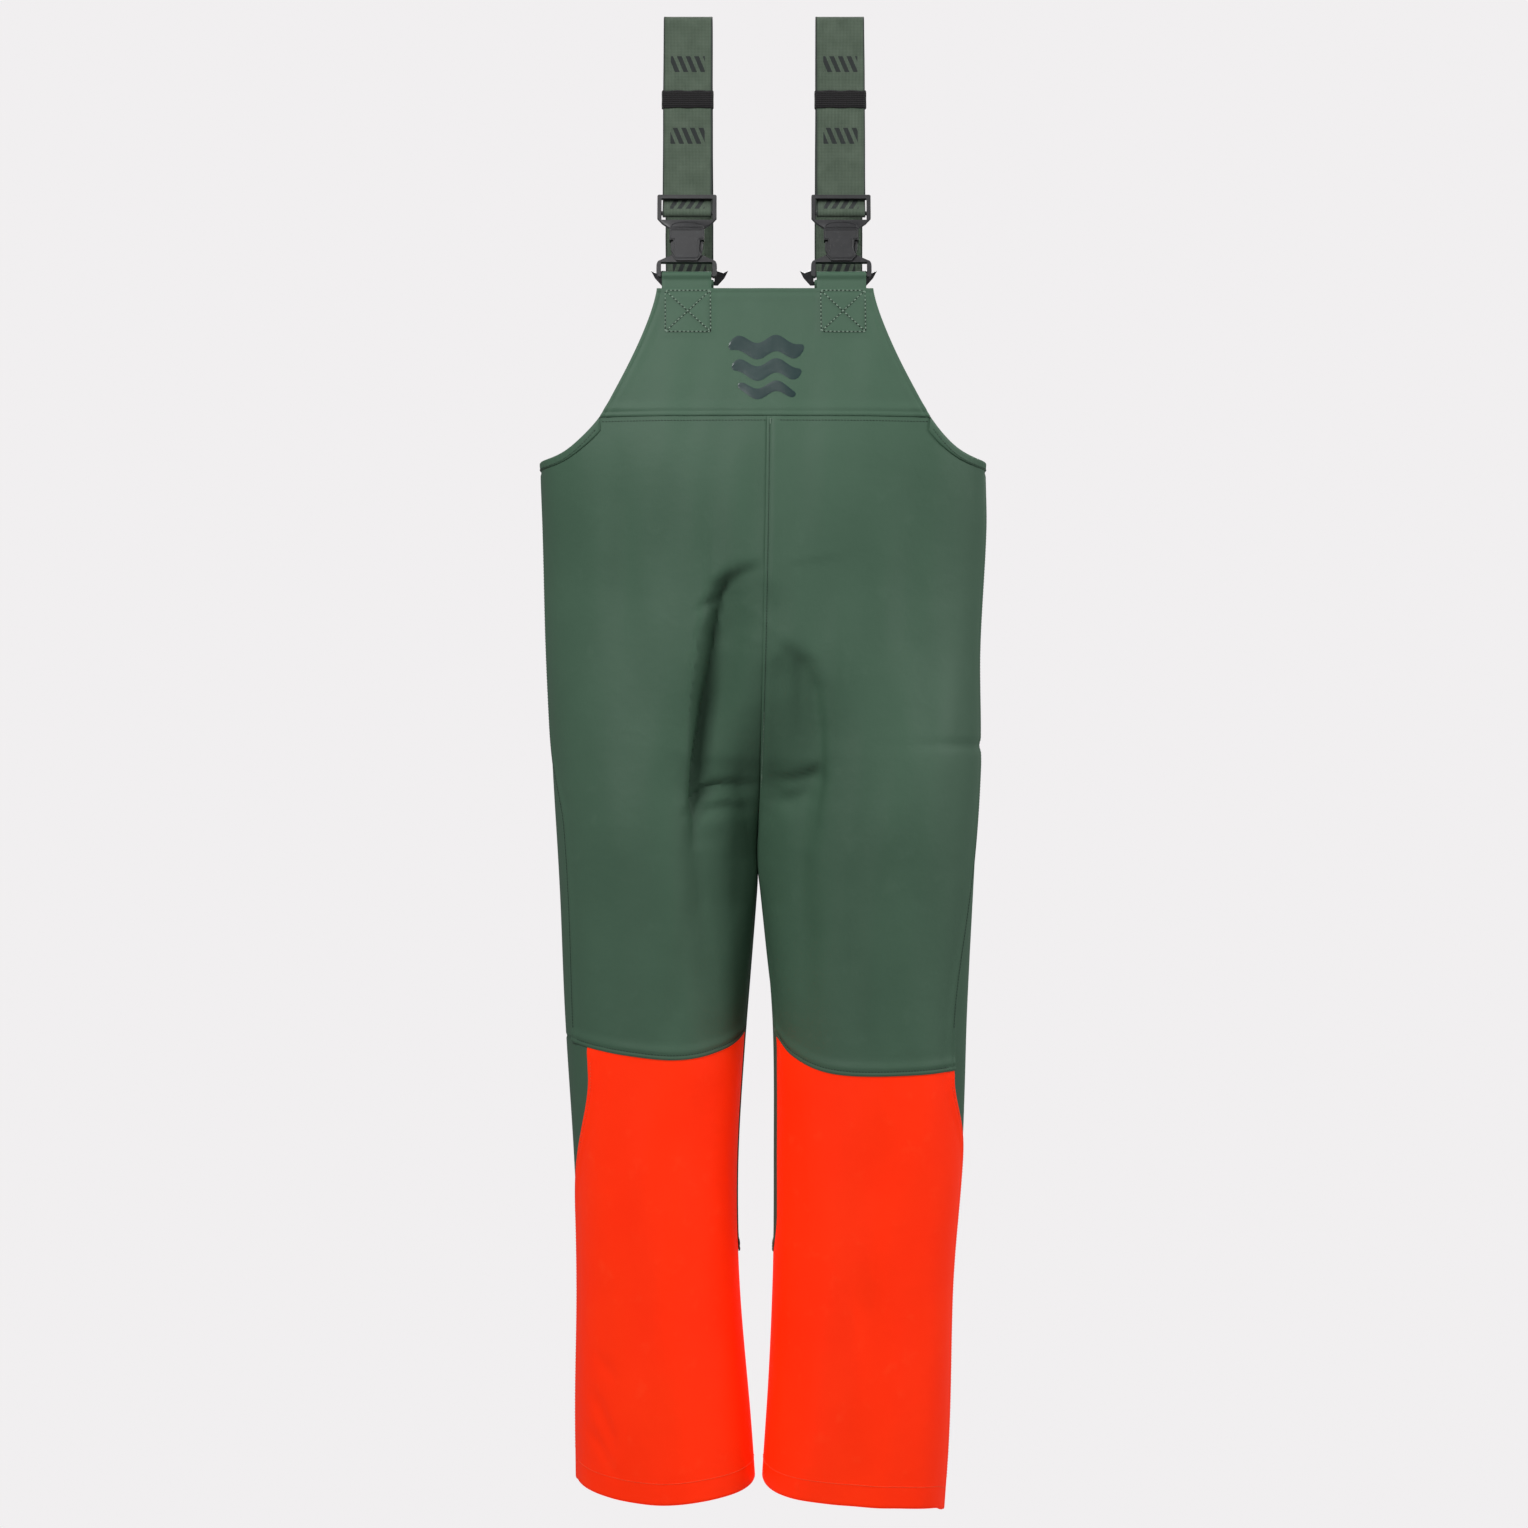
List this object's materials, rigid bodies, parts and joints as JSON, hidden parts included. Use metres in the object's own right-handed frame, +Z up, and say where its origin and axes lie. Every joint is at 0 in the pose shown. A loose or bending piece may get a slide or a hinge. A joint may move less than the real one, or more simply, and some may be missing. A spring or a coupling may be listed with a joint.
{
  "type": "bib-and-brace fishing trousers",
  "caption": "Waterproof bib-and-brace trousers hung by webbing braces with side-release buckles; the buckle plugs slide out, their prongs flex, and the keepers slide.",
  "frame": {"origin": "on the axis of the rail that both braces fold over, midway between the braces", "axes": "+Z up, -Y the garment's front, +X the wearer's left and along the rail"},
  "size_m": [0.455, 0.2192, 1.5074],
  "materials": {
    "green_fabric": "smooth coated cloth, satin",
    "orange_fabric": "smooth coated cloth, satin",
    "green_webbing": "woven elastic webbing, matt",
    "black_elastic": "woven elastic band, matt",
    "black_plastic": "moulded acetal, satin"
  },
  "bodies": {
    "garment": {"bib_panel": "green_fabric", "back_yoke": "green_fabric", "bib_facing": "green_fabric", "yoke_facing": "green_fabric", "left_front_panel": "green_fabric", "left_back_panel": "green_fabric", "left_shin_panel": "orange_fabric", "left_calf_panel": "orange_fabric", "left_armhole_binding": "green_fabric", "left_hem_band": "orange_fabric", "left_brace_webbing": "green_webbing", "left_front_tab": "green_fabric", "left_buckle_socket": "black_plastic", "left_webbing_lower_run": "green_webbing", "left_rear_tab": "green_fabric", "left_rear_ring": "black_plastic", "right_front_panel": "green_fabric", "right_back_panel": "green_fabric", "right_shin_panel": "orange_fabric", "right_calf_panel": "orange_fabric", "right_armhole_binding": "green_fabric", "right_hem_band": "orange_fabric", "right_brace_webbing": "green_webbing", "right_front_tab": "green_fabric", "right_buckle_socket": "black_plastic", "right_webbing_lower_run": "green_webbing", "right_rear_tab": "green_fabric", "right_rear_ring": "black_plastic"},
    "left_plug": {"left_buckle_plug": "black_plastic", "left_webbing_tail": "green_webbing"},
    "left_outer_prong": {"left_outer_prong": "black_plastic"},
    "left_inner_prong": {"left_inner_prong": "black_plastic"},
    "left_keeper": {"left_keeper": "black_elastic"},
    "right_plug": {"right_buckle_plug": "black_plastic", "right_webbing_tail": "green_webbing"},
    "right_outer_prong": {"right_outer_prong": "black_plastic"},
    "right_inner_prong": {"right_inner_prong": "black_plastic"},
    "right_keeper": {"right_keeper": "black_elastic"}
  },
  "joints": [
    {"name": "left_buckle_release", "type": "slide", "parent": "garment", "child": "left_plug", "axis": [0, 0.1961, 0.9806], "range_m": [0, 0.04], "deforming": ["left_webbing_lower_run"]},
    {"name": "left_outer_prong_flex", "type": "hinge", "parent": "left_plug", "child": "left_outer_prong", "pos_m": [0.0875, -0.05658, -0.21967], "axis": [0, 0.9806, -0.1961], "range_deg": [0, 10], "stiffness_Nm_per_rad": 0.02, "deforming": ["left_outer_prong"]},
    {"name": "left_inner_prong_flex", "type": "hinge", "parent": "left_plug", "child": "left_inner_prong", "pos_m": [0.0685, -0.05658, -0.21967], "axis": [0, -0.9806, 0.1961], "range_deg": [0, 10], "stiffness_Nm_per_rad": 0.02, "deforming": ["left_inner_prong"]},
    {"name": "left_keeper_slide", "type": "slide", "parent": "garment", "child": "left_keeper", "axis": [0, 0.1961, 0.9806], "range_m": [-0.035, 0.012]},
    {"name": "right_buckle_release", "type": "slide", "parent": "garment", "child": "right_plug", "axis": [0, 0.1961, 0.9806], "range_m": [0, 0.04], "deforming": ["right_webbing_lower_run"]},
    {"name": "right_outer_prong_flex", "type": "hinge", "parent": "right_plug", "child": "right_outer_prong", "pos_m": [-0.0875, -0.05658, -0.21967], "axis": [0, -0.9806, 0.1961], "range_deg": [0, 10], "stiffness_Nm_per_rad": 0.02, "deforming": ["right_outer_prong"]},
    {"name": "right_inner_prong_flex", "type": "hinge", "parent": "right_plug", "child": "right_inner_prong", "pos_m": [-0.0685, -0.05658, -0.21967], "axis": [0, 0.9806, -0.1961], "range_deg": [0, 10], "stiffness_Nm_per_rad": 0.02, "deforming": ["right_inner_prong"]},
    {"name": "right_keeper_slide", "type": "slide", "parent": "garment", "child": "right_keeper", "axis": [0, 0.1961, 0.9806], "range_m": [-0.035, 0.012]}
  ]
}
